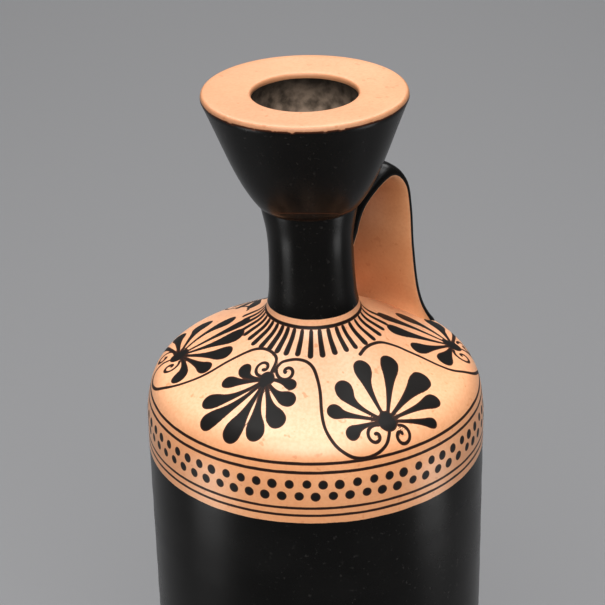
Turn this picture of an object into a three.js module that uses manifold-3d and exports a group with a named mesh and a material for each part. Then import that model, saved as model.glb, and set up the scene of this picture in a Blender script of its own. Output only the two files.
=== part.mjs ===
// A lekythos: a one-piece fired-clay oil flask with a disc foot, a tall body, a conical shoulder,
// a narrow neck, a deep bell-shaped mouth and one strap handle. Millimetres, +Z up.
// The origin is on the body's axis at the level of the underside. The handle stands close to +Y.
import * as THREE from 'three';
import { mergeVertices } from 'three/addons/utils/BufferGeometryUtils.js';
import Module from 'manifold-3d';

// Foot
const footRadius = 38.5;
const footHeight = 15;
const footRingWidth = 7;
const footRingRadius = 36;
const footHollowDepth = 4;
const stemRadius = 16;
const stemHeight = 4.5;

// Body
const bodyRadius = 58;
const lowerBodyHeight = 130.5;
const cylinderHeight = 71.3;
const bodyWall = 4.2;
const floorThickness = 8;

// Shoulder
const shoulderEdgeRun = 8;
const shoulderEdgeRise = 21.1;
const shoulderConeRise = 16.3;
const flareRun = 4.3;
const flareRise = 4.8;

// Neck
const neckFootRadius = 15.7;
const neckWaistRadius = 14.2;
const neckTopRadius = 16.2;
const neckHeight = 37.3;
const boreRadius = 8.6;

// Mouth
const mouthRadius = 33.5;
const mouthSeatRadius = 17.3;
const mouthSeatStep = 1.1;
const mouthHeight = 38.1;
const rimRounding = 1.2;
const mouthHoleRadius = 17.2;
const cupRadius = 19;
const cupDepth = 38;
const lipRounding = 1;

// The neck and mouth lean a little to one side, as the potter joined them
const neckLean = THREE.MathUtils.degToRad(1.07);
const leanAzimuth = THREE.MathUtils.degToRad(222);

// Handle
const handleTopWidth = 21.5;
const handleFootWidth = 30;
const handleThickness = 6.6;
const handleReach = 38;
const handleRootDrop = 20;
const handleCrestRise = 2.4;
const handleFootRadius = 48.5;
const handleRootSink = 10;
const handleFootSink = 5;
const handleTurn = THREE.MathUtils.degToRad(2.2);

// Facets
const wallFacets = 60;
const cavityFacets = 36;

const clay = { color: 0x17150f, roughness: 0.32, metalness: 0 };

// Levels, worked out from the foot upwards
const stemTop = footHeight + stemHeight;
const cylinderFoot = stemTop + lowerBodyHeight;
const cylinderTop = cylinderFoot + cylinderHeight;
const coneFoot = cylinderTop + shoulderEdgeRise;
const coneTop = coneFoot + shoulderConeRise;
const neckFoot = coneTop + flareRise;
const neckTop = neckFoot + neckHeight;
const mouthSeat = neckTop + mouthSeatStep;
const rimTop = mouthSeat + mouthHeight;

const coneFootRadius = bodyRadius - shoulderEdgeRun;
const coneTopRadius = neckFootRadius + flareRun;
const coneSlope = shoulderConeRise / (coneFootRadius - coneTopRadius);

const point = (radius, z) => new THREE.Vector2(radius, z);

// Height of the shoulder's cone at a distance from the axis
function shoulderHeightAt(radius) {
  return coneFoot + (coneFootRadius - radius) * coneSlope;
}

// The lower body swells from the stem to the cylinder in one convex curve
function lowerBodyPoints() {
  const curve = new THREE.CubicBezierCurve(
    point(stemRadius, stemTop),
    point(stemRadius + 0.56 * (bodyRadius - stemRadius), stemTop + 0.2 * lowerBodyHeight),
    point(bodyRadius, cylinderFoot - 0.36 * lowerBodyHeight),
    point(bodyRadius, cylinderFoot),
  );
  return curve.getPoints(10);
}

// The shoulder rolls over from the upright cylinder to the cone
function shoulderEdgePoints() {
  const tangent = point(1, -coneSlope).normalize().multiplyScalar(0.76 * shoulderEdgeRun);
  const curve = new THREE.CubicBezierCurve(
    point(bodyRadius, cylinderTop),
    point(bodyRadius, cylinderTop + 0.62 * shoulderEdgeRise),
    point(coneFootRadius, coneFoot).add(tangent),
    point(coneFootRadius, coneFoot),
  );
  return curve.getPoints(6);
}

// A disc foot with a rounded side on a flat resting ring, hollowed a little underneath
function footPoints() {
  const ringInner = footRingRadius - footRingWidth;
  const side = new THREE.CubicBezierCurve(
    point(footRingRadius, 0),
    point(footRadius + 0.4, 0.15 * footHeight),
    point(footRadius + 0.6, 0.75 * footHeight),
    point(footRadius - 2, 0.88 * footHeight),
  );
  return [
    point(0, footHollowDepth),
    point(ringInner - footHollowDepth / 2, footHollowDepth / 2),
    point(ringInner, 0),
    ...side.getPoints(5),
    point(stemRadius + 1.5, footHeight + 0.5),
    point(stemRadius - 1, footHeight + stemHeight / 2),
  ];
}

// The flare, the waisted neck and the small step under the mouth
function neckPoints() {
  const flare = new THREE.QuadraticBezierCurve(
    point(coneTopRadius, coneTop),
    point(neckFootRadius + 0.2 * flareRun, coneTop + 0.4 * flareRise),
    point(neckFootRadius, neckFoot),
  );
  const waist = new THREE.SplineCurve([
    point(neckFootRadius, neckFoot),
    point(neckWaistRadius + 0.5, neckFoot + 0.17 * neckHeight),
    point(neckWaistRadius, neckFoot + 0.5 * neckHeight),
    point(neckWaistRadius + 0.35, neckFoot + 0.74 * neckHeight),
    point(neckTopRadius, neckTop),
  ]);
  return [...flare.getPoints(4), ...waist.getPoints(8).slice(1)];
}

// The outside of the bell-shaped mouth, its rounded rim and its flat top
function mouthPoints() {
  const bell = new THREE.CubicBezierCurve(
    point(mouthSeatRadius, mouthSeat),
    point(mouthSeatRadius + 0.43 * (mouthRadius - mouthSeatRadius), mouthSeat + 0.24 * mouthHeight),
    point(mouthSeatRadius + 0.64 * (mouthRadius - mouthSeatRadius), mouthSeat + 0.58 * mouthHeight),
    point(mouthRadius, rimTop - 1.7 * rimRounding),
  );
  const rim = new THREE.QuadraticBezierCurve(
    point(mouthRadius, rimTop - 1.7 * rimRounding),
    point(mouthRadius, rimTop),
    point(mouthRadius - rimRounding, rimTop),
  );
  return [...bell.getPoints(7), ...rim.getPoints(3).slice(1)];
}

// The points moved inwards by the wall, square to the line through each point's neighbours
function offsetInwards(points, wall) {
  return points.map((p, i) => {
    const before = points[Math.max(i - 1, 0)];
    const after = points[Math.min(i + 1, points.length - 1)];
    const along = after.clone().sub(before).normalize();
    return point(p.x - along.y * wall, p.y + along.x * wall);
  });
}

// The hollow: body, bore and cup, open above the rim
function cavityPoints() {
  const floorZ = stemTop + floorThickness;
  const bodyOutside = [...lowerBodyPoints(), ...shoulderEdgePoints()];
  const bodyInside = offsetInwards(bodyOutside, bodyWall).filter((p) => p.y > floorZ + 2);
  const floorRadius = Math.max(bodyInside[0].x - 6, boreRadius);
  const coneInside = bodyInside[bodyInside.length - 1];
  const boreFoot = coneInside.y + (coneInside.x - boreRadius) * coneSlope;
  const cupFloor = rimTop - cupDepth;
  const cup = new THREE.QuadraticBezierCurve(
    point(boreRadius, cupFloor),
    point(cupRadius, cupFloor + 0.1 * cupDepth),
    point(cupRadius, rimTop - 0.4 * cupDepth),
  );
  return [
    point(0, floorZ),
    point(floorRadius, floorZ),
    ...bodyInside,
    point(boreRadius, boreFoot),
    ...cup.getPoints(6),
    point(mouthHoleRadius, rimTop - 1.5 * lipRounding),
    point(mouthHoleRadius + 0.3 * lipRounding, rimTop - 0.5 * lipRounding),
    point(mouthHoleRadius + lipRounding, rimTop),
    point(mouthHoleRadius + lipRounding, rimTop + 2),
    point(0, rimTop + 2),
  ];
}

// Everything above the neck's foot slides sideways in proportion to its height
function lean(geometry) {
  const position = geometry.attributes.position;
  for (let i = 0; i < position.count; i += 1) {
    const shift = Math.max(position.getZ(i) - neckFoot, 0) * Math.tan(neckLean);
    position.setX(i, position.getX(i) + shift * Math.cos(leanAzimuth));
    position.setY(i, position.getY(i) + shift * Math.sin(leanAzimuth));
  }
  return geometry;
}

// A profile turned about the Z axis, with the lean
function turned(points, facets) {
  return lean(new THREE.LatheGeometry(points, facets).rotateX(Math.PI / 2));
}

// A flat strap of oval section, narrower at the neck than at the shoulder. It climbs steeply out of the
// neck, turns over a tight crest below the mouth, drops almost straight and spreads out over the shoulder.
function handleGeometry() {
  const footZ = shoulderHeightAt(handleFootRadius) - handleFootSink;
  const backDrop = mouthSeat - footZ;
  const spread = handleFootRadius - handleReach;
  const path = new THREE.CatmullRomCurve3([
    new THREE.Vector3(0, neckWaistRadius - handleRootSink, mouthSeat - handleRootDrop),
    new THREE.Vector3(0, 0.25 * handleReach, mouthSeat - 0.52 * handleRootDrop),
    new THREE.Vector3(0, 0.43 * handleReach, mouthSeat - 0.13 * handleRootDrop),
    new THREE.Vector3(0, 0.73 * handleReach, mouthSeat + handleCrestRise),
    new THREE.Vector3(0, 0.91 * handleReach, mouthSeat - 0.05 * backDrop),
    new THREE.Vector3(0, 0.97 * handleReach, mouthSeat - 0.22 * backDrop),
    new THREE.Vector3(0, handleReach, mouthSeat - 0.45 * backDrop),
    new THREE.Vector3(0, handleReach + 0.3 * spread, mouthSeat - 0.74 * backDrop),
    new THREE.Vector3(0, handleFootRadius, footZ),
  ]);
  const section = new THREE.Shape().absellipse(0, 0, handleTopWidth / 2, handleThickness / 2, 0, 2 * Math.PI);
  const strap = new THREE.ExtrudeGeometry(section, { steps: 24, curveSegments: 8, extrudePath: path });
  const position = strap.attributes.position;
  for (let i = 0; i < position.count; i += 1) {
    const outward = Math.max(position.getY(i), 0) / handleFootRadius;
    const width = THREE.MathUtils.lerp(handleTopWidth, handleFootWidth, outward ** 1.5);
    position.setX(i, position.getX(i) * width / handleTopWidth);
  }
  return strap.rotateZ(handleTurn);
}

const wasm = await Module();
wasm.setup();

// A closed geometry as a solid that can be joined and cut
function solid(geometry) {
  const bare = geometry.clone();
  bare.deleteAttribute('normal');
  bare.deleteAttribute('uv');
  const merged = mergeVertices(bare, 1e-4);
  return new wasm.Manifold(new wasm.Mesh({
    numProp: 3,
    vertProperties: new Float32Array(merged.attributes.position.array),
    triVerts: new Uint32Array(merged.index.array),
  }));
}

// The solid's triangles as a geometry again
function geometryOf(shape) {
  const mesh = shape.getMesh();
  const geometry = new THREE.BufferGeometry();
  geometry.setAttribute('position', new THREE.BufferAttribute(mesh.vertProperties, 3));
  geometry.setIndex(new THREE.BufferAttribute(mesh.triVerts, 1));
  geometry.computeVertexNormals();
  return geometry;
}

// The filled outside with the handle joined on, then hollowed out
function vase() {
  const outside = [
    ...footPoints(),
    ...lowerBodyPoints(),
    ...shoulderEdgePoints(),
    ...neckPoints(),
    ...mouthPoints(),
    point(0, rimTop),
  ];
  const filled = solid(turned(outside, wallFacets));
  const cavity = solid(turned(cavityPoints(), cavityFacets));
  const hollowed = filled.add(solid(handleGeometry())).subtract(cavity);
  const mesh = new THREE.Mesh(geometryOf(hollowed), new THREE.MeshStandardMaterial(clay));
  mesh.name = 'vase';
  return mesh;
}

const lekythos = new THREE.Group();
lekythos.add(vase());

export default lekythos;
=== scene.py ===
import math

import bpy
import numpy as np
from mathutils import Matrix, Vector


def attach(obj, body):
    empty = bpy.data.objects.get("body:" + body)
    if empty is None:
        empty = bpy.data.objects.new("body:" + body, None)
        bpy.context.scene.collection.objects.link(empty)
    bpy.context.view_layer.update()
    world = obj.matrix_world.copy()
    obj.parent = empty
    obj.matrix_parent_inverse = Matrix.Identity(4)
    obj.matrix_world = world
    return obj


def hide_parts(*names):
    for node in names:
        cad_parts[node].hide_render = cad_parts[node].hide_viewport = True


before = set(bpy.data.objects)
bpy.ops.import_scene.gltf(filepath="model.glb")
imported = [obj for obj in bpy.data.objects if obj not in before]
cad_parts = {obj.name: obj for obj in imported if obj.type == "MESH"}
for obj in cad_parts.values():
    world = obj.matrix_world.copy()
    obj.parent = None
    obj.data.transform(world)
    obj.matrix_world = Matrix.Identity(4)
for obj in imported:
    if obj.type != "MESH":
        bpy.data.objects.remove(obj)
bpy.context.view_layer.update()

# The camera stands in front and to the right of the flask and looks down on it, so that the handle
# shows behind the neck. Its place is measured, in metres, from the axis at the painted band's lower edge.
BAND_FOOT = 0.2133
VIEW_TURN = math.radians(42)
VIEW_PITCH = 0.46628
VIEW_ROLL = -0.02337
VIEW_DISTANCE = 0.6474
VIEW_SIDE = -0.00363
VIEW_HEIGHT = 0.0506
LENS_MM = 114.43

to_right = Vector((math.cos(VIEW_TURN), math.sin(VIEW_TURN), 0))
away = Vector((-math.sin(VIEW_TURN), math.cos(VIEW_TURN), 0))
up = Vector((0, 0, 1))
look = away * math.cos(VIEW_PITCH) - up * math.sin(VIEW_PITCH)
level_up = away * math.sin(VIEW_PITCH) + up * math.cos(VIEW_PITCH)
frame_right = to_right * math.cos(VIEW_ROLL) + level_up * math.sin(VIEW_ROLL)
frame_up = level_up * math.cos(VIEW_ROLL) - to_right * math.sin(VIEW_ROLL)
eye = to_right * VIEW_SIDE + up * (BAND_FOOT + VIEW_HEIGHT) - look * VIEW_DISTANCE

camera_data = bpy.data.cameras.new("camera")
camera_data.lens = LENS_MM
camera_data.sensor_width = 36
camera_data.clip_start = 0.01
camera = bpy.data.objects.new("camera", camera_data)
turn = Matrix((frame_right, frame_up, -look)).transposed().to_4x4()
camera.matrix_world = Matrix.Translation(eye) @ turn
bpy.context.collection.objects.link(camera)
bpy.context.scene.camera = camera


# The studio: soft panels overhead, in front and behind light the mouth and the shoulder, one more turns
# up the plain grey floor, and two low strips on each side draw the pale streaks down the black slip.
FLOOR_HALF = 4.0
FLOOR_COLOUR = (0.209, 0.209, 0.21318)
FLOOR_ROUGHNESS = 0.9
ROOM_COLOUR = (0.8, 0.82, 0.85, 1)
ROOM_STRENGTH = 0.15
VIEW_GAMMA = 0.85


def soft_light(name, degrees, distance, height, size, watts, aim=0.2):
    """A rectangular light at an azimuth counted from the camera, turned to a height on the flask's axis."""
    azimuth = math.radians(degrees)
    direction = -away * math.cos(azimuth) + to_right * math.sin(azimuth)
    place = direction * distance + up * height
    data = bpy.data.lights.new(name, "AREA")
    data.shape = "RECTANGLE"
    data.size, data.size_y = size
    data.energy = watts
    light = bpy.data.objects.new(name, data)
    light.location = place
    light.visible_camera = False
    light.rotation_euler = (up * aim - place).to_track_quat("-Z", "Y").to_euler()
    bpy.context.collection.objects.link(light)


soft_light("light_top", 0, 0.15, 1.3, (1.2, 1.0), 8)
soft_light("light_front", -4, 0.85, 1.0, (1.0, 0.8), 14.5)
soft_light("light_sheen", 180, 0.4, 1.5, (1.0, 0.6), 13)
soft_light("light_floor", 180, 2.0, 2.0, (2.0, 1.2), 50, aim=-40.0)
soft_light("light_left", -62, 0.34, 0.09, (0.11, 0.13), 0.06)
soft_light("light_left_low", -72, 0.36, 0.06, (0.14, 0.09), 0.17)
soft_light("light_right", 57, 0.36, 0.09, (0.1, 0.13), 0.012)
soft_light("light_right_low", 76, 0.36, 0.06, (0.14, 0.09), 0.18)

world = bpy.data.worlds.new("room")
world.use_nodes = True
world.node_tree.nodes["Background"].inputs["Color"].default_value = ROOM_COLOUR
world.node_tree.nodes["Background"].inputs["Strength"].default_value = ROOM_STRENGTH
bpy.context.scene.world = world
bpy.context.scene.view_settings.view_transform = "Standard"
bpy.context.scene.view_settings.gamma = VIEW_GAMMA


class Sum:
    """A shader socket on which Python's operators add Math nodes."""

    def __init__(self, shade, socket):
        self.shade, self.socket = shade, socket

    def math(self, kind, *others):
        """The Math node of this kind on this socket and the others."""
        return Sum(self.shade, self.shade.node("ShaderNodeMath", {"operation": kind}, {
            i: other for i, other in enumerate((self, *others))
        }).outputs[0])

    def __add__(self, other):
        return self.math("ADD", other)

    def __radd__(self, other):
        return self.math("ADD", other)

    def __sub__(self, other):
        return self.math("SUBTRACT", other)

    def __rsub__(self, other):
        return Sum(self.shade, self.shade.node("ShaderNodeMath", {"operation": "SUBTRACT"},
                                               {0: other, 1: self}).outputs[0])

    def __mul__(self, other):
        return self.math("MULTIPLY", other)

    def __rmul__(self, other):
        return self.math("MULTIPLY", other)

    def __abs__(self):
        return self.math("ABSOLUTE")

    def clamped(self):
        """The value held between 0 and 1."""
        return self.math("MAXIMUM", 0.0).math("MINIMUM", 1.0)

    def step(self, low, high):
        """0 below low, 1 above high and a straight ramp between."""
        return ((self - low) * (1 / (high - low))).clamped()


class Shade:
    """A node material with one method for every node."""

    def __init__(self, name):
        self.material = bpy.data.materials.new(name)
        self.material.use_nodes = True
        self.tree = self.material.node_tree
        self.surface = self.tree.nodes["Principled BSDF"]

    def node(self, kind, settings=None, sockets=None):
        """A node of this kind, with its settings made first and then its sockets' values or links."""
        made = self.tree.nodes.new(kind)
        for name, value in (settings or {}).items():
            setattr(made, name, value)
        for name, value in (sockets or {}).items():
            self.put(made.inputs[name], value)
        return made

    def put(self, target, value):
        """Sets a socket's value or links it."""
        if isinstance(value, Sum):
            self.tree.links.new(value.socket, target)
        elif isinstance(value, bpy.types.NodeSocket):
            self.tree.links.new(value, target)
        elif isinstance(value, tuple) and len(value) == 3 and len(target.default_value) == 4:
            target.default_value = (*value, 1)
        else:
            target.default_value = value

    def number(self, kind, settings=None, sockets=None, output=0):
        """One of a new node's outputs as a number for sums."""
        return Sum(self, self.node(kind, settings, sockets).outputs[output])

    def mix(self, factor, first, second):
        """The first colour where the factor is 0 and the second where it is 1."""
        return self.node("ShaderNodeMix", {"data_type": "RGBA"}, {0: factor, 6: first, 7: second}).outputs[2]

    def noise(self, place, scale, detail):
        """Soft noise over the Object coordinates, between 0 and 1."""
        return self.number("ShaderNodeTexNoise", None, {"Vector": place, "Scale": scale, "Detail": detail})


floor_shade = Shade("floor")
floor_shade.put(floor_shade.surface.inputs["Base Color"], FLOOR_COLOUR)
floor_shade.put(floor_shade.surface.inputs["Roughness"], FLOOR_ROUGHNESS)
floor_corners = [(x * FLOOR_HALF, y * FLOOR_HALF, 0) for x, y in ((-1, -1), (1, -1), (1, 1), (-1, 1))]
floor_mesh = bpy.data.meshes.new("floor")
floor_mesh.from_pydata(floor_corners, [], [(0, 1, 2, 3)])
floor = bpy.data.objects.new("floor", floor_mesh)
floor.data.materials.append(floor_shade.material)
bpy.context.collection.objects.link(floor)


# The flask is fired clay, thrown on the wheel in sections and luted together: a disc foot, a tall body
# that tapers to a stem, a sloping shoulder, a waisted neck and a deep bell mouth, hollow all through.
MM = 1000
BODY_RADIUS = 0.058
STEM_RADIUS = 0.016
FOOT_RADIUS = 0.0385
FOOT_HEIGHT = 0.015
FOOT_RING = 0.036
FOOT_RING_WIDTH = 0.007
FOOT_HOLLOW = 0.004
STEM_TOP = 0.0195
CYLINDER_FOOT = 0.150
CYLINDER_TOP = 0.2213
CONE_FOOT = 0.2424
CONE_FOOT_RADIUS = 0.050
CONE_TOP = 0.2587
CONE_TOP_RADIUS = 0.020
CONE_SLOPE = (CONE_TOP - CONE_FOOT) / (CONE_FOOT_RADIUS - CONE_TOP_RADIUS)
NECK_FOOT = 0.2635
NECK_FOOT_RADIUS = 0.0157
NECK_WAIST_RADIUS = 0.0142
NECK_TOP = 0.3008
NECK_TOP_RADIUS = 0.0162
SEAT = 0.3019
SEAT_RADIUS = 0.0173
MOUTH_RADIUS = 0.0335
RIM_TOP = 0.340
RIM_ROUND = 0.0012
HOLE_RADIUS = 0.0172
LIP_DIP = 0.0008
LIP_ROUND = 0.001
CUP_RADIUS = 0.019
BORE_RADIUS = 0.0086
CUP_FLOOR = 0.302
WALL = 0.0042
FLOOR_INSIDE = 0.0275
LEAN = math.tan(math.radians(1.07))
LEAN_AZIMUTH = math.radians(222)
CENTRE_RADIUS = 0.0008
FINE_FROM = 0.2325
FINE_COLUMNS = 576
COLUMNS_RATIO = 4
FOOT_STEP = 0.003
BODY_STEP = 0.0035
CYLINDER_STEP = 0.006
BAND_STEP = 0.00055
NECK_FOOT_STEP = 0.0006
NECK_STEP = 0.0012
MOUTH_STEP = 0.0016
RIM_STEP = 0.0025
BORE_STEP = 0.005


def bezier(*points, count):
    """Points spaced evenly in t on the Bezier curve of the given points: their Bernstein blend."""
    t = np.linspace(0, 1, count)[:, None]
    degree = len(points) - 1
    return sum(math.comb(degree, i) * (1 - t) ** (degree - i) * t ** i * np.array(p)
               for i, p in enumerate(points))


def through(points, count):
    """A smooth curve through the points: a Catmull-Rom cubic between each pair, its slope at a point half
    the arrow between that point's neighbours; past each end the curve goes on by its own mirror."""
    p = np.array(points, float)
    p = np.vstack([2 * p[0] - p[1], p, 2 * p[-1] - p[-2]])
    s = np.linspace(0, len(points) - 1.000001, count)
    k = s.astype(int)
    t = (s - k)[:, None]
    a, b, c, d = p[k], p[k + 1], p[k + 2], p[k + 3]
    square, cube = 2 * a - 5 * b + 4 * c - d, 3 * b - a - 3 * c + d
    return 0.5 * (2 * b + (c - a) * t + square * t ** 2 + cube * t ** 3)


def spaced(points, step):
    """The polyline through the points, cut again into equal lengths of about the step."""
    lengths = np.hypot(*np.diff(points, axis=0).T)
    along = np.concatenate([[0], np.cumsum(lengths)])
    count = max(int(round(along[-1] / step)), 2) + 1
    marks = np.linspace(0, along[-1], count)
    return np.column_stack([np.interp(marks, along, points[:, i]) for i in range(points.shape[1])])


def offset(points, wall):
    """The profile moved towards the axis by the wall, square to its own direction."""
    along = np.gradient(points, axis=0)
    along /= np.linalg.norm(along, axis=1)[:, None]
    return points + wall * np.column_stack([-along[:, 1], along[:, 0]])


def lower_body(count):
    """The swelling curve from the stem to the foot of the cylinder, as radius and height: one Bezier
    curve that leaves the stem leaning well out and meets the cylinder upright."""
    rise = CYLINDER_FOOT - STEM_TOP
    return bezier((STEM_RADIUS, STEM_TOP),
                  (STEM_RADIUS + 0.56 * (BODY_RADIUS - STEM_RADIUS), STEM_TOP + 0.2 * rise),
                  (BODY_RADIUS, CYLINDER_FOOT - 0.36 * rise),
                  (BODY_RADIUS, CYLINDER_FOOT), count=count)


def shoulder_edge(count):
    """The rounded turn from the cylinder to the shoulder's cone, as radius and height: one Bezier curve
    that leaves the cylinder upright and meets the cone along its slope."""
    handle_length = 0.76 * (BODY_RADIUS - CONE_FOOT_RADIUS)
    slope = np.array((1, -CONE_SLOPE)) / math.hypot(1, CONE_SLOPE) * handle_length
    return bezier((BODY_RADIUS, CYLINDER_TOP),
                  (BODY_RADIUS, CYLINDER_TOP + 0.62 * (CONE_FOOT - CYLINDER_TOP)),
                  (CONE_FOOT_RADIUS + slope[0], CONE_FOOT + slope[1]),
                  (CONE_FOOT_RADIUS, CONE_FOOT), count=count)


# The profile starts under the foot, climbs the outside, crosses the rim and goes down the inside.
ring_inner = FOOT_RING - FOOT_RING_WIDTH
foot_brow = (FOOT_RADIUS - 0.002, 0.88 * FOOT_HEIGHT)
foot_profile = np.vstack([
    spaced(np.array([(CENTRE_RADIUS, FOOT_HOLLOW), (ring_inner - FOOT_HOLLOW / 2, FOOT_HOLLOW / 2),
                     (ring_inner, 0), (FOOT_RING, 0)]), FOOT_STEP),
    bezier((FOOT_RING, 0), (FOOT_RADIUS + 0.0004, 0.15 * FOOT_HEIGHT),
           (FOOT_RADIUS + 0.0006, 0.75 * FOOT_HEIGHT), foot_brow, count=14)[1:],
    spaced(np.array([foot_brow, (STEM_RADIUS + 0.0015, FOOT_HEIGHT + 0.0005)]), FOOT_STEP)[1:],
    bezier((STEM_RADIUS - 0.0002, FOOT_HEIGHT + 0.0008), (STEM_RADIUS - 0.0014, FOOT_HEIGHT + 0.0025),
           (STEM_RADIUS, STEM_TOP), count=6),
])
cone_top = (CONE_TOP_RADIUS, CONE_TOP)
band_profile = spaced(np.vstack([shoulder_edge(60), [cone_top]]), BAND_STEP)
fine_from = int(np.argmax(band_profile[:, 1] > FINE_FROM))
body_profile = np.vstack([
    spaced(lower_body(60), BODY_STEP)[1:],
    spaced(np.array([(BODY_RADIUS, CYLINDER_FOOT), (BODY_RADIUS, CYLINDER_TOP)]), CYLINDER_STEP)[1:],
    band_profile[1:fine_from:3],
])
neck_turn = (NECK_FOOT_RADIUS + 0.2 * (CONE_TOP_RADIUS - NECK_FOOT_RADIUS),
             CONE_TOP + 0.4 * (NECK_FOOT - CONE_TOP))
fine_profile = np.vstack([
    band_profile[fine_from:],
    spaced(bezier(cone_top, neck_turn, (NECK_FOOT_RADIUS, NECK_FOOT), count=30), NECK_FOOT_STEP)[1:],
])
neck_rise = NECK_TOP - NECK_FOOT
mouth_rise = RIM_TOP - SEAT
mouth_spread = MOUTH_RADIUS - SEAT_RADIUS
rim_foot = (MOUTH_RADIUS, RIM_TOP - 1.7 * RIM_ROUND)
rim_inner = (MOUTH_RADIUS - RIM_ROUND, RIM_TOP)
lip_outer = (HOLE_RADIUS + LIP_ROUND, RIM_TOP - LIP_DIP)
lip_foot = (HOLE_RADIUS, RIM_TOP - LIP_DIP - 1.5 * LIP_ROUND)
upper_profile = np.vstack([
    spaced(through([(NECK_FOOT_RADIUS, NECK_FOOT),
                    (NECK_WAIST_RADIUS + 0.0005, NECK_FOOT + 0.17 * neck_rise),
                    (NECK_WAIST_RADIUS, NECK_FOOT + 0.5 * neck_rise),
                    (NECK_WAIST_RADIUS + 0.00035, NECK_FOOT + 0.74 * neck_rise),
                    (NECK_TOP_RADIUS, NECK_TOP)], 60), NECK_STEP)[1:],
    bezier((NECK_TOP_RADIUS, NECK_TOP), (NECK_TOP_RADIUS - 0.0001, SEAT - 0.0006),
           (SEAT_RADIUS - 0.0004, SEAT - 0.0002), (SEAT_RADIUS, SEAT), count=6)[1:],
    spaced(bezier((SEAT_RADIUS, SEAT), (SEAT_RADIUS + 0.43 * mouth_spread, SEAT + 0.24 * mouth_rise),
                  (SEAT_RADIUS + 0.64 * mouth_spread, SEAT + 0.58 * mouth_rise),
                  rim_foot, count=50), MOUTH_STEP)[1:],
    bezier(rim_foot, (MOUTH_RADIUS, RIM_TOP), rim_inner, count=7)[1:],
    spaced(np.array([rim_inner, lip_outer]), RIM_STEP)[1:],
    bezier(lip_outer, (HOLE_RADIUS, RIM_TOP - LIP_DIP), lip_foot, count=6)[1:],
    spaced(bezier(lip_foot, (CUP_RADIUS + 0.0004, RIM_TOP - 0.006),
                  (CUP_RADIUS + 0.0002, RIM_TOP - 0.016), (CUP_RADIUS - 0.001, CUP_FLOOR + 0.012),
                  (CUP_RADIUS - 0.004, CUP_FLOOR + 0.0045), (BORE_RADIUS, CUP_FLOOR), count=40),
           MOUTH_STEP)[1:],
])
outer_wall = np.vstack([lower_body(30), shoulder_edge(14)])
inner_wall = offset(outer_wall, WALL)
inner_wall = inner_wall[inner_wall[:, 1] > FLOOR_INSIDE + 0.002]
bore_foot = inner_wall[-1, 1] + (inner_wall[-1, 0] - BORE_RADIUS) * CONE_SLOPE
inside_profile = np.vstack([
    spaced(np.array([(BORE_RADIUS, CUP_FLOOR), (BORE_RADIUS, bore_foot)]), BORE_STEP)[1:],
    inner_wall[::-1],
    (inner_wall[0, 0] - 0.006, FLOOR_INSIDE),
    (CENTRE_RADIUS, FLOOR_INSIDE),
])


FAR = 20.0
PETAL_POINTS = 15
PETAL_STALK = 0.55
PETAL_FULL = 0.35
PETAL_FULL_AT = 0.9
PETAL_SWELL_POWER = 2.5
HEART_STRETCH = 0.25
HEART_TAPER = 0.7
VOLUTE_POINTS = 40
VOLUTE_TURN = math.radians(375)
VOLUTE_CLOSING = 0.8
VOLUTE_JOIN_POWER = 7
TENDRIL_POINTS = 90


def distance_to_path(points, path, radii):
    """Signed distance to a stroke of varying half width: over all its straight pieces, the smallest of
    the distance to the nearest point of the piece less the half width there."""
    nearest = np.full(len(points), FAR)
    for a, b, ra, rb in zip(path[:-1], path[1:], radii[:-1], radii[1:]):
        ab = b - a
        t = np.clip((points - a) @ ab / (ab @ ab + 1e-9), 0, 1)
        gap = np.hypot(*(points - a - t[:, None] * ab).T) - (ra + t * (rb - ra))
        nearest = np.minimum(nearest, gap)
    return nearest


def arrow_to_path(points, path):
    """For each point, the arrow from the nearest point of the polyline, and the arrow's length: over all
    straight pieces, the shortest arrow from the point of the piece nearest to it."""
    arrow = np.full((len(points), 2), FAR)
    length = np.full(len(points), math.hypot(FAR, FAR))
    for a, b in zip(path[:-1], path[1:]):
        ab = b - a
        t = np.clip((points - a) @ ab / (ab @ ab + 1e-9), 0, 1)
        here = points - a - t[:, None] * ab
        reach = np.hypot(*here.T)
        closer = reach < length
        arrow[closer], length[closer] = here[closer], reach[closer]
    return arrow, length


def frond(heart, middle, tip, half_width):
    """A petal from the heart through its middle point to its tip, with its half widths: a thin stalk,
    widened by a power of the way along until it is fullest, a little more than the half width, near the
    tip, and as wide from there to its round end."""
    heart, middle, tip = (np.array(p, float) for p in (heart, middle, tip))
    path = bezier(heart, 2 * middle - (heart + tip) / 2, tip, count=PETAL_POINTS)
    swell = np.minimum(np.linspace(0, 1, PETAL_POINTS) / PETAL_FULL_AT, 1) ** PETAL_SWELL_POWER
    return path, PETAL_STALK + (half_width + PETAL_FULL - PETAL_STALK) * swell


def volute(start, centre, size, sense):
    """A spiral from a point on the heart round its centre: its angle grows evenly, and its radius closes
    on the size by a high power of the way left and shrinks by the cube of the way gone, to a small eye."""
    start, centre = np.array(start, float), np.array(centre, float)
    out = start - centre
    t = np.linspace(0, 1, VOLUTE_POINTS)
    angle = math.atan2(out[1], out[0]) + sense * t * VOLUTE_TURN
    reach = size * (1 - VOLUTE_CLOSING * t ** 3) + (np.hypot(*out) - size) * (1 - t) ** VOLUTE_JOIN_POWER
    return centre + reach[:, None] * np.column_stack([np.cos(angle), np.sin(angle)])


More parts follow.
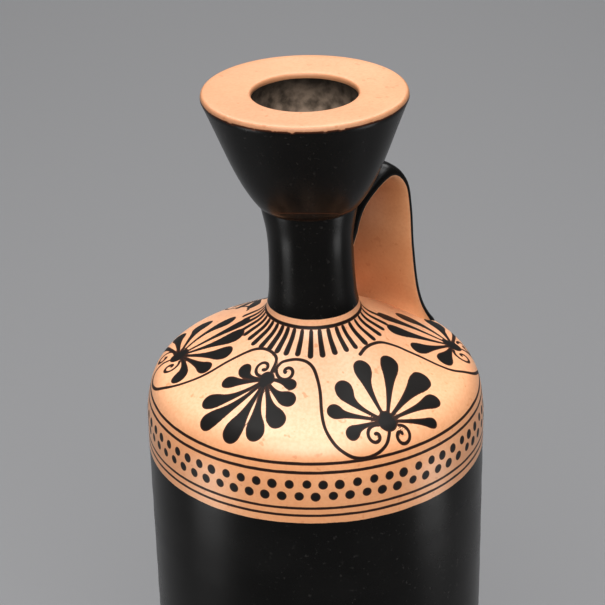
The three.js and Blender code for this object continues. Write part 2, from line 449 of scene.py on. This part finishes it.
# The shoulder's ornament as laid out on its plan, in millimetres from the axis with the handle at +Y.
# Beyond the cone's foot the plan's radius goes on along the rounded edge, so that nothing is squeezed there.
# A palmette is its heart with the heart's radius; its petals, each by its middle, its tip and the tip's
# half width; and its two volutes, each by its start, its centre, its size and the way it winds.
PALMETTES = [
    ((8.1, -32.8, 2.7),
     [(2.2, -34.6, -1.3, -33.0, 1.8), (1.9, -36.5, -3.8, -38.7, 1.8), (2.2, -41.6, -4.8, -46.6, 2.4),
      (4.7, -43.4, -0.4, -52.4, 2.6), (9.2, -42.8, 9.9, -52.2, 2.9), (12.0, -41.6, 16.8, -48.4, 2.7),
      (14.1, -38.4, 20.2, -41.7, 2.7), (13.8, -34.9, 18.9, -34.4, 2.2), (12.7, -31.0, 16.4, -30.1, 1.5)],
     [(6.7, -32.3, 4.4, -30.3, 2.3, -1), (8.9, -28.8, 12.4, -27.7, 2.3, 1)]),
    ((46.5, -17.6, 3.3),
     [(42.7, -25.0, 41.9, -29.4, 1.9), (37.8, -25.2, 33.0, -28.0, 2.1), (36.9, -21.1, 30.2, -20.0, 2.6),
      (36.2, -13.8, 29.4, -9.6, 2.6), (39.5, -8.1, 32.8, 0.2, 2.6), (44.5, -6.2, 42.2, 5.3, 2.9),
      (48.6, -6.2, 49.6, 2.4, 2.1), (51.6, -9.6, 55.0, -3.8, 1.3)],
     [(49.5, -15.4, 52.3, -16.5, 2.7, -1), (45.6, -20.9, 47.1, -24.2, 2.3, 1)]),
    ((-34.8, -30.6, 3.2),
     [(-27.5, -35.6, -25.2, -40.6, 2.3), (-23.8, -34.1, -17.0, -35.8, 2.0), (-23.1, -30.7, -14.1, -29.1, 2.4),
      (-24.7, -26.7, -15.8, -21.9, 2.7), (-27.2, -23.3, -18.0, -15.5, 1.9),
      (-33.4, -19.7, -27.8, -13.4, 2.7), (-39.4, -19.1, -41.1, -11.9, 3.1),
      (-42.2, -23.4, -47.7, -17.5, 2.2), (-44.4, -25.9, -49.8, -23.7, 1.0)],
     [(-31.7, -33.4, -33.4, -36.3, 2.3, -1), (-38.1, -29.4, -42.0, -30.9, 2.6, 1)]),
]
# The paired palmette and its tendril lie on the handle's +X side and, mirrored, on its other side. There
# the palmette has two longer petals more, each by its heart, its middle, its tip and its half width.
PAIRED_PALMETTE = (
    (32.0, 35.6, 3.2),
    [(35.3, 29.4, 38.3, 23.0, 2.3), (32.6, 25.3, 31.6, 16.9, 2.2), (28.0, 25.0, 22.6, 15.5, 2.2),
     (23.4, 27.7, 15.9, 18.1, 1.9), (22.2, 34.4, 15.6, 29.7, 2.8), (24.1, 40.6, 17.3, 44.2, 3.1),
     (24.2, 47.1, 17.8, 55.3, 1.2)],
    [(34.7, 32.8, 38.0, 33.8, 2.7, 1), (30.9, 40.0, 32.6, 42.8, 2.6, -1)])
PAIRED_TENDRIL = [
    (25.6, -6.2), (24.9, -2.5), (25.0, 1.2), (25.9, 5.0), (28.8, 8.8), (31.6, 11.2), (35.0, 14.1),
    (40.0, 18.1), (43.1, 21.9), (44.9, 28.2), (44.9, 33.1), (43.2, 38.9), (40.8, 44.6), (38.3, 46.1),
    (36.1, 41.8), (34.1, 38.1)]
LEFT_PETALS = [((-41.9, 23.2), (-38.5, 11.5), (-35.0, 1.8), 2.2),
               ((-41.9, 23.2), (-33.5, 9.5), (-24.6, -3.4), 2.0)]
MIRROR_AZIMUTH = math.radians(99.5)
TENDRILS = [
    [(-37.5, -32.8), (-39.8, -34.2), (-41.5, -36.8), (-40.8, -39.9), (-38.0, -42.8), (-33.1, -44.9),
     (-27.6, -45.0), (-23.1, -43.9), (-17.5, -40.6), (-13.8, -37.2), (-10.0, -32.2), (-5.0, -26.9),
     (-1.9, -25.0), (1.2, -24.4), (4.4, -24.8), (6.6, -26.2), (7.8, -30.0)],
    [(8.1, -30.6), (8.4, -27.7), (8.6, -26.0), (9.7, -24.6), (12.2, -22.5), (15.4, -21.2), (18.6, -21.5),
     (22.2, -23.6), (25.8, -26.5), (30.4, -31.2), (34.4, -34.3), (38.4, -35.8), (42.2, -35.9),
     (46.7, -34.3), (49.8, -31.0), (51.3, -26.9), (51.2, -23.1), (49.7, -20.3), (48.5, -18.9)],
]
TENDRIL_HALF_WIDTH = 0.52
# The tongues round the neck run from the first azimuth both ways, each way by its count and its step.
TONGUE_FROM = math.radians(-71)
TONGUE_STEPS = [(13, math.radians(9.8)), (11, math.radians(-8.1))]
TONGUE_START = 16.9
TONGUE_END = 23.8
TONGUE_HALF_WIDTH = 0.98
TONGUE_ROOT = 0.72
TONGUE_DRIFT = 0.05
TONGUE_END_DRIFT = 0.3
TONGUE_WIDTH_DRIFT = 0.05
MARK_SEED = 7


def mirrored(points):
    """Plan points reflected in the upright plane at the mirror azimuth: x and y by the doubled angle."""
    c, s = math.cos(2 * MIRROR_AZIMUTH), math.sin(2 * MIRROR_AZIMUTH)
    x, y = np.array(points, float).T
    return np.column_stack([c * x + s * y, s * x - c * y])


def palmette(heart, petal_rows, volute_rows):
    """The palmette's petals with its heart, a short stroke drawn out towards the petals' mean middle point,
    and its volutes."""
    centre = heart[:2]
    made = [frond(centre, row[:2], row[2:4], row[4]) for row in petal_rows]
    middle = np.mean([row[:2] for row in petal_rows], axis=0)
    heart_end = middle * HEART_STRETCH + np.array(centre) * (1 - HEART_STRETCH)
    made.append((np.array([centre, heart_end]), np.array([heart[2], HEART_TAPER * heart[2]])))
    return made, [volute(row[:2], row[2:4], row[4], row[5]) for row in volute_rows]


petals = []
strokes = [through(line, TENDRIL_POINTS) for line in TENDRILS]
for layout in PALMETTES:
    more_petals, more_strokes = palmette(*layout)
    petals += more_petals
    strokes += more_strokes
paired_petals, paired_strokes = palmette(*PAIRED_PALMETTE)
paired_strokes.append(through(PAIRED_TENDRIL, TENDRIL_POINTS))
petals += paired_petals + [(mirrored(path), radii) for path, radii in paired_petals]
petals += [frond(*row) for row in LEFT_PETALS]
strokes += paired_strokes + [mirrored(line) for line in paired_strokes[:-1]]
strokes.append(mirrored(through(PAIRED_TENDRIL[2:], TENDRIL_POINTS)))

hand = np.random.default_rng(MARK_SEED)
for count, step in TONGUE_STEPS:
    for k in range(0 if step > 0 else 1, count):
        azimuth = TONGUE_FROM + (k + TONGUE_DRIFT * hand.normal()) * step
        ray = np.array((math.cos(azimuth), math.sin(azimuth)))
        end = TONGUE_END + TONGUE_END_DRIFT * hand.normal()
        width = TONGUE_HALF_WIDTH + TONGUE_WIDTH_DRIFT * hand.normal()
        petals.append((np.array([TONGUE_START * ray, end * ray]), np.array([TONGUE_ROOT * width, width])))


def turned_grid(profile, columns):
    """Each profile point carried round the axis: (r cos a, r sin a, z) for evenly spaced angles a."""
    angle = np.arange(columns) * 2 * math.pi / columns
    radius, height = profile[:, 0:1], profile[:, 1:2]
    return np.stack([radius * np.cos(angle), radius * np.sin(angle), height + 0 * angle], -1).reshape(-1, 3)


def ring_faces(start, rows, columns):
    """Quads between neighbouring rings, listed anticlockwise as seen from outside."""
    row, column = np.meshgrid(np.arange(rows - 1), np.arange(columns), indexing="ij")
    after = (column + 1) % columns
    low, high = start + row * columns, start + (row + 1) * columns
    return np.stack([low + column, low + after, high + after, high + column], -1).reshape(-1, 4)


def leaned(points):
    """Everything above the neck's foot slid sideways in proportion to its height above it."""
    shift = np.maximum(points[:, 2] - NECK_FOOT, 0)[:, None] * LEAN
    return points + shift * np.array((math.cos(LEAN_AZIMUTH), math.sin(LEAN_AZIMUTH), 0))


coarse = FINE_COLUMNS // COLUMNS_RATIO
low_profile = np.vstack([foot_profile, body_profile])
high_profile = np.vstack([upper_profile, inside_profile])
parts = [(low_profile, coarse), (fine_profile, FINE_COLUMNS), (high_profile, coarse)]
starts = np.cumsum([0] + [len(profile) * columns for profile, columns in parts])
corners = np.vstack([turned_grid(profile, columns) for profile, columns in parts])
whole = np.vstack([profile for profile, _ in parts])
along = np.concatenate([[0], np.cumsum(np.hypot(*np.diff(whole, axis=0).T))]) * MM
row_of = np.concatenate([np.repeat(np.arange(len(profile)), columns) for profile, columns in parts])
row_of[starts[1]:] += len(low_profile)
row_of[starts[2]:] += len(fine_profile)

faces = [face for (profile, columns), start in zip(parts, starts)
         for face in ring_faces(start, len(profile), columns).tolist()]
last_low = starts[1] - coarse
last_fine = starts[2] - FINE_COLUMNS
for j in range(coarse):
    fan = [(COLUMNS_RATIO * j + i) % FINE_COLUMNS for i in range(COLUMNS_RATIO + 1)]
    after = (j + 1) % coarse
    faces.append([last_low + j, last_low + after, *(int(starts[1]) + i for i in reversed(fan))])
    faces.append([*(int(last_fine) + i for i in fan), int(starts[2]) + after, int(starts[2]) + j])
faces.append(list(reversed(range(coarse))))
faces.append(list(range(int(starts[3]) - coarse, int(starts[3]))))

# A thrown wall is never quite true: shallow rings from the fingers and a slow swell round it, both cut
# into the wall, and fading out towards the foot and the neck.
FINGER_DEPTH = 0.00006
FINGER_PITCH = 620
FINGER_SLANT = 1.5
SWELL_DEPTH = 0.00012
SWELL_TURN = 0.8
UNEVEN_RADIUS = 0.034
UNEVEN_RADIUS_FADE = 0.012
UNEVEN_HEIGHT = 0.03
azimuth = np.arctan2(corners[:, 1], corners[:, 0])
outside = along[row_of] < along[len(low_profile) + len(fine_profile)]
rings = FINGER_DEPTH * np.sin(corners[:, 2] * FINGER_PITCH + FINGER_SLANT * np.sin(azimuth))
wave = rings + SWELL_DEPTH * np.sin(2 * azimuth + SWELL_TURN)
reach = np.hypot(corners[:, 0], corners[:, 1])
uneven = np.clip((reach - UNEVEN_RADIUS) / UNEVEN_RADIUS_FADE, 0, 1) * outside
uneven = uneven * np.clip((corners[:, 2] - UNEVEN_HEIGHT) / UNEVEN_HEIGHT, 0, 1)
cut = (wave - FINGER_DEPTH - SWELL_DEPTH) * uneven
corners[:, :2] *= (1 + cut / np.maximum(reach, 0.001))[:, None]

# The drawing is measured on the plan, where the rounded edge is laid out flat in line with the cone.
cone_along = np.interp(-CONE_FOOT_RADIUS, -fine_profile[:, 0], along[len(low_profile):][:len(fine_profile)])
flattened = CONE_FOOT_RADIUS * MM + (cone_along - along) / math.hypot(1, CONE_SLOPE)
unrolled = np.where(along < cone_along, flattened, whole[:, 0] * MM)
plan = unrolled[row_of][:, None] * np.column_stack([np.cos(azimuth), np.sin(azimuth)])
fine = slice(int(starts[1]), int(starts[2]))
leaf = np.full(len(corners), FAR)
arrows = np.full((len(corners), 3), FAR)
for path, radii in petals:
    leaf[fine] = np.minimum(leaf[fine], distance_to_path(plan[fine], path, radii))
for line in strokes:
    arrow, length = arrow_to_path(plan[fine], line)
    closer = length < arrows[fine, 2]
    arrows[fine][closer] = np.column_stack([arrow, length])[closer]

flask_mesh = bpy.data.meshes.new("flask")
flask_mesh.from_pydata(leaned(corners).tolist(), [], faces)
flask_mesh.polygons.foreach_set("use_smooth", np.ones(len(flask_mesh.polygons), bool))
flask_mesh.attributes.new("along", "FLOAT", "POINT").data.foreach_set("value", along[row_of])
flask_mesh.attributes.new("leaf", "FLOAT", "POINT").data.foreach_set("value", leaf)
flask_mesh.attributes.new("stroke", "FLOAT_VECTOR", "POINT").data.foreach_set("vector", arrows.ravel())
flask = bpy.data.objects.new("flask", flask_mesh)
bpy.context.collection.objects.link(flask)
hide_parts("vase")
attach(flask, "root")


def along_at(height, first, last):
    """How far along the profile, in millimetres, the wall reaches a height between two of its rows."""
    rows = slice(first, last)
    return float(np.interp(height, whole[rows, 1], along[rows]))


low_end = len(low_profile)
fine_end = low_end + len(fine_profile)
body_start = len(foot_profile) - 1
# The rows where the rim, the hole's wall and the mouth's seat begin.
rim_row = fine_end + int(np.argmax(upper_profile[:, 1] > RIM_TOP - 1.6 * RIM_ROUND))
in_hole = (upper_profile[:, 0] < HOLE_RADIUS + 0.0001) & (upper_profile[:, 1] > RIM_TOP - 0.004)
lip_row = fine_end + int(np.argmax(in_hole))
seat_row = fine_end + int(np.argmin(abs(upper_profile[:, 1] - SEAT) + (upper_profile[:, 0] > 0.02)))
# Where the clay is left bare, as marks along the profile in millimetres: the foot's side up to its brow,
# the band and the shoulder, the ring at the neck's foot, and the top of the rim with its lip.
BARE_FOOT_TOP = 0.0118
RING_BELOW = 0.0007
RING_ABOVE = 0.0016
LIP_BARE = 0.9
FOOT_EDGE = along_at(BARE_FOOT_TOP, 0, body_start)
BAND_START = along_at(BAND_FOOT, body_start, low_end)
RING_START = along_at(NECK_FOOT - RING_BELOW, low_end, fine_end)
RING_END = along_at(NECK_FOOT + RING_ABOVE, fine_end - 1, rim_row)
RIM_START = float(along[rim_row])
LIP_END = float(along[lip_row]) + LIP_BARE
SEAT_MARK = float(along[seat_row])
# The band's lines, each by its height in metres and its half width in millimetres, and its two rows of
# dots, each by its height and by how far its dots are shifted, in dots.
LINES = [(0.2346, 0.5), (0.2317, 0.5), (0.2189, 0.45), (0.2162, 0.45)]
DOT_ROWS = [(0.2276, 0.0), (0.2234, 0.43)]
DOTS_ROUND = 66
DOT_RADIUS = 1.4
DOT_SPREAD = 0.25
DOT_TALL = 0.96
DOT_DRIFT = 0.1
DOT_RISE = 0.5
DOT_SEED_STEP = 40
RING_HALF_WIDTH = 0.6
RING_OFFSET = 0.3
STROKE_TOLERANCE = 0.22
FRONT_TURN = math.pi / 15
PAINT_EDGE = 0.06
SLIP_EDGE = 0.05
CHIP_DEPTH = 0.5
SEAM_THIN = 0.5
ARC_THIN = 0.5
ARC_RISE = 3.6
ARC_FALL = 5.8
PAINT_EDGE_THIN = 0.75
# How much painted shade darkens and reddens the rim's bare top.
RIM_TOP_PAINTED_SHADE = 0.42
RIM_LINE_THIN = 0.7
# Painted light in the cup: the depth below the rim, in millimetres, where it starts to grow and where it is
# full.
CUP_PAINTED_LIGHT_FROM = 3.0
CUP_PAINTED_LIGHT_FULL = 15.0
# The painted sheen on the shoulder: how far up it grows, in millimetres, its most, and how much of that it
# loses away from the front.
PAINTED_SHEEN_RISE = 9
PAINTED_SHEEN_MOST = 0.7
PAINTED_SHEEN_LOSS = 0.4
# Each noise by its scale, per metre, and its detail.
MOTTLE = (45.0, 5.0)
GRAIN = (900.0, 2.0)
CLOUD = (14.0, 2.0)
SPECK = (420.0, 1.0)
FLUFF = (700.0, 3.0)
TREMBLE = (160.0, 3.0)
CHIPS = (330.0, 3.0)
PATCHES = (260.0, 4.0)
GLOSS = 0.9
RIM_GLOSS_LOSS = 0.6
SPECULAR = 0.17
COAT_ROUGHNESS = 0.34
BUMP_STRENGTH = 0.12
BUMP_DISTANCE = 0.0003
CLAY = (0.73, 0.36, 0.175)
CLAY_RED = (0.62, 0.26, 0.11)
CLAY_PALE = (0.80, 0.43, 0.23)
# The paler clay of the painted sheen.
CLAY_PAINTED_SHEEN = (0.88, 0.56, 0.385)
SLIP = (0.0045, 0.0042, 0.0038)
SLIP_GREY = (0.009, 0.0085, 0.008)
# The red-brown of thin slip. It is also used as painted shade on bare clay.
THIN_SLIP_AND_PAINTED_SHADE = (0.09, 0.028, 0.012)
PAINT = (0.0105, 0.0092, 0.0082)
PAINT_GREY = (0.019, 0.017, 0.016)
# The dust in the cup. Its colour also serves as the painted light there.
DUST_AND_PAINTED_LIGHT_COLOUR = (0.34, 0.265, 0.205)
LINT = (0.16, 0.15, 0.14)


def fired(shade, place, slip, paint, thin_and_painted_shade, dust_and_painted_light, painted_sheen, gloss):
    """Sets a material's colour, gloss and fine relief from its masks: slip is the black gloss, paint the
    duller black of the drawing, the third is where either is so thin that the clay reddens it and where
    painted shade darkens and reddens the bare clay, the fourth where dust lies on it and where painted light
    lightens it, and the fifth where a painted sheen makes the clay paler. Gloss is the weight of the clay's
    own sheen."""
    mottle = shade.noise(place, *MOTTLE)
    grain = shade.noise(place, *GRAIN)
    cloud = shade.noise(place, *CLOUD)
    speck = shade.noise(place, *SPECK).step(0.69, 0.74)
    lint = shade.noise(place, *FLUFF).step(0.64, 0.74) * cloud.step(0.4, 0.6)
    clay = shade.mix(mottle.step(0.35, 0.7), CLAY, CLAY_PALE)
    clay = shade.mix(cloud.step(0.48, 0.72) * 0.55, clay, CLAY_RED)
    clay = shade.mix(painted_sheen, clay, CLAY_PAINTED_SHEEN)
    clay = shade.mix(grain.step(0.42, 0.62) * 0.2, clay, CLAY_RED)
    clay = shade.mix(speck * 0.6, clay, CLAY_RED)
    colour = shade.mix(paint, clay, shade.mix(mottle.step(0.3, 0.75), PAINT, PAINT_GREY))
    colour = shade.mix(slip, colour, shade.mix(mottle.step(0.45, 0.8), SLIP, SLIP_GREY))
    colour = shade.mix(thin_and_painted_shade, colour, THIN_SLIP_AND_PAINTED_SHADE)
    colour = shade.mix(dust_and_painted_light, colour, DUST_AND_PAINTED_LIGHT_COLOUR)
    colour = shade.mix(lint * slip * 0.2, colour, LINT)
    dark = slip.math("MAXIMUM", paint)
    rough = 0.46 - slip * 0.2 - paint * 0.06 + (mottle - 0.5) * 0.12
    relief = grain * (1 - dark * 0.7) + mottle * 0.6
    bump = shade.node("ShaderNodeBump", None, {
        "Strength": BUMP_STRENGTH, "Distance": BUMP_DISTANCE, "Height": relief})
    shade.put(shade.surface.inputs["Base Color"], colour)
    shade.put(shade.surface.inputs["Roughness"], rough)
    shade.put(shade.surface.inputs["Normal"], bump.outputs[0])
    shade.put(shade.surface.inputs["Specular IOR Level"], SPECULAR)
    shade.put(shade.surface.inputs["Coat Weight"], gloss - dark * gloss)
    shade.put(shade.surface.inputs["Coat Roughness"], COAT_ROUGHNESS)


flask_shade = Shade("flask_finish")
place = flask_shade.node("ShaderNodeTexCoord").outputs["Object"]
axes = flask_shade.node("ShaderNodeSeparateXYZ", None, {0: place})
east, north, height = (Sum(flask_shade, axes.outputs[i]) for i in range(3))
run = flask_shade.number("ShaderNodeAttribute", {"attribute_name": "along"}, output=2)
leaf_gap = flask_shade.number("ShaderNodeAttribute", {"attribute_name": "leaf"}, output=2)
stroke_node = flask_shade.node("ShaderNodeAttribute", {"attribute_name": "stroke"})
stroke_axes = flask_shade.node("ShaderNodeSeparateXYZ", None, {0: stroke_node.outputs[1]})
stroke_x, stroke_y, stroke_far = (Sum(flask_shade, stroke_axes.outputs[i]) for i in range(3))
tremble = (flask_shade.noise(place, *TREMBLE) - 0.5) * 0.5
bearing = north.math("ARCTAN2", east)

# The drawing: petals, tongues and tendrils from the mesh, then the band's lines and dots and the line
# round the neck's foot, all as one signed distance in millimetres that is below zero on the paint.
stroke_length = (stroke_x * stroke_x + stroke_y * stroke_y).math("SQRT")
stroke_gap = stroke_length.math("MAXIMUM", stroke_far - STROKE_TOLERANCE)
drawn = leaf_gap.math("MINIMUM", stroke_gap - TENDRIL_HALF_WIDTH)
for level, half in LINES:
    mark = along_at(level, body_start, fine_end)
    drawn = drawn.math("MINIMUM", abs(run - mark + tremble * 0.5) - half)
for level, turn_by in DOT_ROWS:
    mark = along_at(level, body_start, fine_end)
    count = bearing * (DOTS_ROUND / (2 * math.pi)) + turn_by
    index = count.math("FLOOR")
    dot_number = index.math("FLOORED_MODULO", DOTS_ROUND) + DOT_SEED_STEP * turn_by
    luck = flask_shade.number("ShaderNodeTexWhiteNoise", {"noise_dimensions": "1D"}, {1: dot_number})
    across = count - index - 0.5 + (luck - 0.5) * DOT_DRIFT
    across = across * (2 * math.pi * BODY_RADIUS * MM / DOTS_ROUND)
    upwards = (run - mark + (luck - 0.5) * DOT_RISE) * DOT_TALL
    dot = (across * across + upwards * upwards).math("SQRT") - DOT_RADIUS - luck * DOT_SPREAD
    drawn = drawn.math("MINIMUM", dot)
ring_line = abs(run - RING_START + RING_OFFSET + tremble * 0.3) - RING_HALF_WIDTH
drawn = drawn.math("MINIMUM", ring_line) + tremble * 0.35
paint = 1 - drawn.step(-PAINT_EDGE, PAINT_EDGE)
paint_edge = drawn.step(-0.5, -0.02) * paint


def past(run_here, mark):
    """0 before a mark along the profile and 1 after it, over a narrow ramp."""
    return run_here.step(mark - SLIP_EDGE, mark + SLIP_EDGE)


# The slip covers the body, the neck and the mouth's outside, and the cup within. Towards the front its
# edge is chipped along the rim, and it is thin in the seam at the seat and in an arc just above it.
front = bearing + VIEW_TURN + FRONT_TURN
chips = flask_shade.noise(place, *CHIPS).step(0.55, 0.7) * (1 - abs(front).step(0.6, 1.3)) * CHIP_DEPTH
edge = run + tremble
rim_edge = edge + chips
below = past(edge, FOOT_EDGE) * (1 - past(edge, BAND_START))
above = past(edge, RING_END) * (1 - past(rim_edge, RIM_START))
within = past(edge, LIP_END)
slip = below.math("MAXIMUM", above).math("MAXIMUM", within)
seam = 1 - (abs(run - SEAT_MARK) + tremble * 0.4).step(0.12, 0.4)
arc_line = (height - SEAT) * MM - ARC_RISE + front * front * ARC_FALL
arc = (1 - (abs(arc_line) + tremble * 0.6).step(0.1, 0.45)) * (1 - abs(front).step(0.6, 0.76))

rim_top = past(rim_edge, RIM_START) * (1 - within)
rim_line = 1 - abs(rim_edge - RIM_START + 0.1).step(0.15, 0.55)
# The drawing's edges, the seam, the arc and the line at the rim's edge are thin slip that the clay reddens;
# the rim's bare top gets the same red-brown as painted shade.
thin_and_painted_shade = (paint_edge * PAINT_EDGE_THIN).math("MAXIMUM", seam * SEAM_THIN).math("MAXIMUM", arc * ARC_THIN)
thin_and_painted_shade = thin_and_painted_shade.math("MAXIMUM", rim_top * RIM_TOP_PAINTED_SHADE).math("MAXIMUM", rim_line * RIM_LINE_THIN)
# Dust lies in the cup in patches, together with painted light that is faint under the lip and grows deeper
# down.
depth = ((RIM_TOP - height) * MM).step(CUP_PAINTED_LIGHT_FROM, CUP_PAINTED_LIGHT_FULL)
patches = flask_shade.noise(place, *PATCHES).step(0.35, 0.65)
cup_dust_and_painted_light = within * (0.15 + depth * 0.85) * (0.3 + patches * 0.65)
# A painted sheen makes the shoulder's clay paler from the band's top line up, half as much on the ring at the
# neck's foot, and mostly in front.
shoulder_mark = along_at(LINES[0][0], body_start, fine_end)
painted_sheen = run.step(shoulder_mark, shoulder_mark + PAINTED_SHEEN_RISE) * (1 - run.step(RING_START - 1, RING_START) * 0.5)
painted_sheen = painted_sheen * (PAINTED_SHEEN_MOST - abs(front + 0.15).step(0.3, 1.5) * PAINTED_SHEEN_LOSS)
fired(flask_shade, place, slip, paint, thin_and_painted_shade, cup_dust_and_painted_light, painted_sheen, GLOSS - rim_top * RIM_GLOSS_LOSS)
flask_mesh.materials.append(flask_shade.material)


# The handle is a pulled strap of clay, oval across, pressed on below the mouth, arched over and pressed
# down on the shoulder, where its foot is smoothed out. The side that faces the neck is left bare.
HANDLE_TOP_WIDTH = 0.0215
HANDLE_FOOT_WIDTH = 0.030
HANDLE_THICKNESS = 0.0066
HANDLE_REACH = 0.038
HANDLE_FOOT_RADIUS = 0.0485
HANDLE_ROOT_SINK = 0.010
HANDLE_FOOT_SINK = 0.005
HANDLE_ROOT_DROP = 0.020
HANDLE_CREST_RISE = 0.0024
HANDLE_TURN = math.radians(2.2)
HANDLE_COLUMNS = 72
HANDLE_STEP = 0.0009
SECTION_POWER = 0.8
WIDENING_POWER = 1.5
FOOT_FILLET = 0.008
FOOT_SWELL = 0.0012
FOOT_BACK_SWELL = 0.0035
FOOT_DEPTH = 0.003
ROOT_FILLET = 0.004
ROOT_SWELL = 0.001
ROOT_CLEARANCE = 1.15
BARE_TO = -0.1
BARE_EDGE = 0.02
BARE_TREMBLE = 0.06
# How much painted shade darkens and reddens the strap's bare face.
BARE_PAINTED_SHADE = 0.2
HANDLE_GLOSS = 0.3


def rounded(wave):
    """A cosine or sine with its size raised to the section's power and its sign kept, which makes an oval
    section squarer."""
    return np.sign(wave) * np.abs(wave) ** SECTION_POWER


handle_foot = CONE_FOOT + (CONE_FOOT_RADIUS - HANDLE_FOOT_RADIUS) * CONE_SLOPE - HANDLE_FOOT_SINK
drop = SEAT - handle_foot
spread = HANDLE_FOOT_RADIUS - HANDLE_REACH
strap_line = spaced(through([
    (NECK_WAIST_RADIUS - HANDLE_ROOT_SINK, SEAT - HANDLE_ROOT_DROP),
    (0.25 * HANDLE_REACH, SEAT - 0.52 * HANDLE_ROOT_DROP),
    (0.43 * HANDLE_REACH, SEAT - 0.13 * HANDLE_ROOT_DROP),
    (0.73 * HANDLE_REACH, SEAT + HANDLE_CREST_RISE),
    (0.91 * HANDLE_REACH, SEAT - 0.05 * drop),
    (0.97 * HANDLE_REACH, SEAT - 0.22 * drop),
    (HANDLE_REACH, SEAT - 0.45 * drop),
    (HANDLE_REACH + 0.3 * spread, SEAT - 0.74 * drop),
    (HANDLE_FOOT_RADIUS, handle_foot)], 300), HANDLE_STEP)
strap_along = np.gradient(strap_line, axis=0)
strap_along /= np.linalg.norm(strap_along, axis=1)[:, None]
section = np.linspace(0, 2 * math.pi, HANDLE_COLUMNS, endpoint=False)
sideways, inside_out = np.cos(section), np.sin(section)
widening = (strap_line[:, 0] / HANDLE_FOOT_RADIUS) ** WIDENING_POWER
half_width = 0.5 * (HANDLE_TOP_WIDTH + (HANDLE_FOOT_WIDTH - HANDLE_TOP_WIDTH) * widening)


def strap_points(swell):
    """The strap's section, made fuller by the swell, carried along its line and turned about the axis."""
    across = (half_width[:, None] + swell) * rounded(sideways)
    outward = (0.5 * HANDLE_THICKNESS + swell) * rounded(inside_out)
    y = strap_line[:, 0:1] - outward * strap_along[:, 1:2]
    z = strap_line[:, 1:2] + outward * strap_along[:, 0:1]
    x = across * math.cos(HANDLE_TURN) - y * math.sin(HANDLE_TURN)
    y = across * math.sin(HANDLE_TURN) + y * math.cos(HANDLE_TURN)
    return x, y, z


# The strap swells where it meets the shoulder and the neck, keeps just under the shoulder's skin at its
# foot and stays clear of the bore at its root.
x, y, z = strap_points(0.0)
foot_half = (strap_line[:, 0:1] > 0.8 * HANDLE_REACH) * 1.0
shoulder_below = CONE_FOOT + (CONE_FOOT_RADIUS - np.hypot(x, y)) * CONE_SLOPE
at_foot = foot_half * np.clip(1 - (z - shoulder_below) / FOOT_FILLET, 0, 1) ** 3
at_root = (1 - foot_half) * np.clip(1 - (np.hypot(x, y) - NECK_WAIST_RADIUS) / ROOT_FILLET, 0, 1) ** 2
foot_swell = FOOT_SWELL + FOOT_BACK_SWELL * np.maximum(-inside_out, 0)
x, y, z = strap_points(at_foot * foot_swell + at_root * ROOT_SWELL)
shoulder_below = CONE_FOOT + (CONE_FOOT_RADIUS - np.hypot(x, y)) * CONE_SLOPE
z = np.where(foot_half > 0, np.maximum(z, shoulder_below - FOOT_DEPTH), z)
outwards = np.where(foot_half > 0, 1, np.maximum(1, ROOT_CLEARANCE * BORE_RADIUS / np.hypot(x, y)))
strap = np.stack([x * outwards, y * outwards, z], -1)
rows, columns = x.shape
rounding = np.tile(np.sin(section), rows)
strap_faces = [face[::-1] for face in ring_faces(0, rows, columns).tolist()]
strap_faces += [list(range(columns)), list(reversed(range((rows - 1) * columns, rows * columns)))]
handle_mesh = bpy.data.meshes.new("handle")
handle_mesh.from_pydata(strap.reshape(-1, 3).tolist(), [], strap_faces)
handle_mesh.polygons.foreach_set("use_smooth", np.ones(len(handle_mesh.polygons), bool))
handle_mesh.attributes.new("round", "FLOAT", "POINT").data.foreach_set("value", rounding)
handle = bpy.data.objects.new("handle", handle_mesh)
bpy.context.collection.objects.link(handle)
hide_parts("vase")
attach(handle, "root")

handle_shade = Shade("handle_finish")
place = handle_shade.node("ShaderNodeTexCoord").outputs["Object"]
round_here = handle_shade.number("ShaderNodeAttribute", {"attribute_name": "round"}, output=2)
tremble = (handle_shade.noise(place, *TREMBLE) - 0.5) * BARE_TREMBLE
slip = (round_here + tremble).step(BARE_TO - BARE_EDGE, BARE_TO + BARE_EDGE)
nowhere = 0.0 * slip
# The bare face is darkened and reddened as painted shade.
fired(handle_shade, place, slip, nowhere, BARE_PAINTED_SHADE * (1 - slip), nowhere, 0.0, HANDLE_GLOSS)
handle_mesh.materials.append(handle_shade.material)
